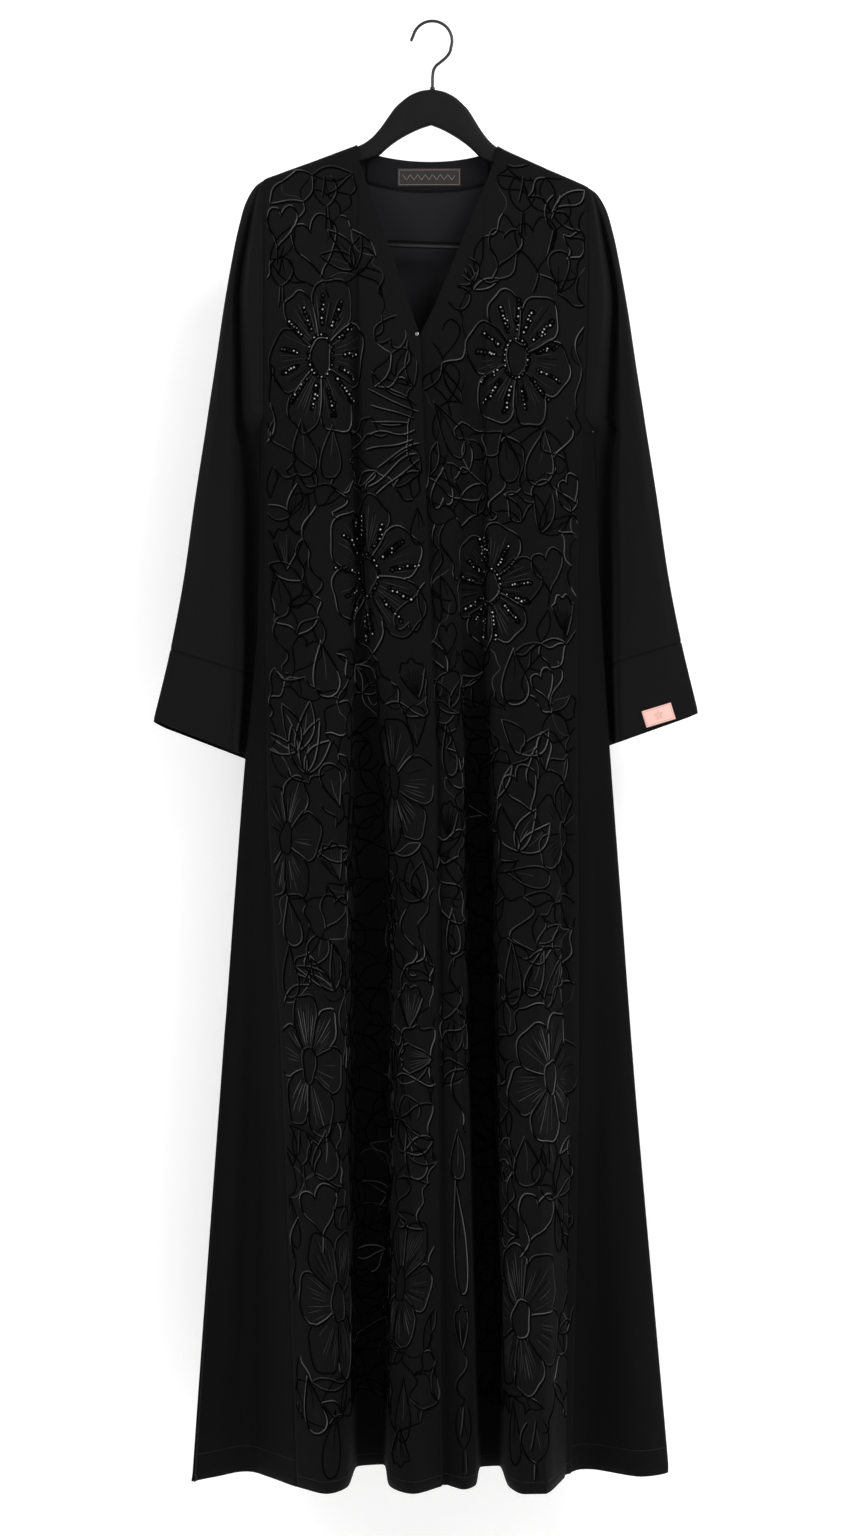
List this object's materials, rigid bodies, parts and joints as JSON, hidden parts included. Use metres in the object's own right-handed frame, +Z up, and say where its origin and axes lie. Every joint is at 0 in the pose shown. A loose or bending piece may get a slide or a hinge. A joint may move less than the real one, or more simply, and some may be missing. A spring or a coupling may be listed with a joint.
{
  "type": "abaya cloak on a hanger",
  "caption": "Full-length open-front abaya cloak with embroidered front panels and deep cuffs, hanging on a flat hanger with a wire hook and a trouser bar.",
  "frame": {"origin": "the inner top of the hanger's hook, where a rail touches it", "axes": "+Z up along the hanging garment, -Y out of the garment's front, +X to the right as seen from the front"},
  "size_m": [0.578, 0.183, 1.5465],
  "materials": {
    "crepe": "matt black crepe",
    "neck_satin": "dark woven satin",
    "pink_satin": "pale pink woven satin",
    "snap_steel": "bright nickel",
    "black_wood": "matt black paint",
    "black_wire": "black lacquered wire"
  },
  "bodies": {
    "root": {"back": "crepe", "back_neck_facing": "crepe", "cuff_label": "pink_satin", "cuff_left": "crepe", "cuff_right": "crepe", "front_left": "crepe", "front_right": "crepe", "hanger_arms": "black_wood", "hanger_bar": "black_wood", "hanger_collar": "black_wire", "hanger_hook": "black_wire", "neck_label": "neck_satin", "side_front_left": "crepe", "side_front_right": "crepe", "sleeve_left": "crepe", "sleeve_right": "crepe", "snap": "snap_steel"}
  },
  "joints": []
}
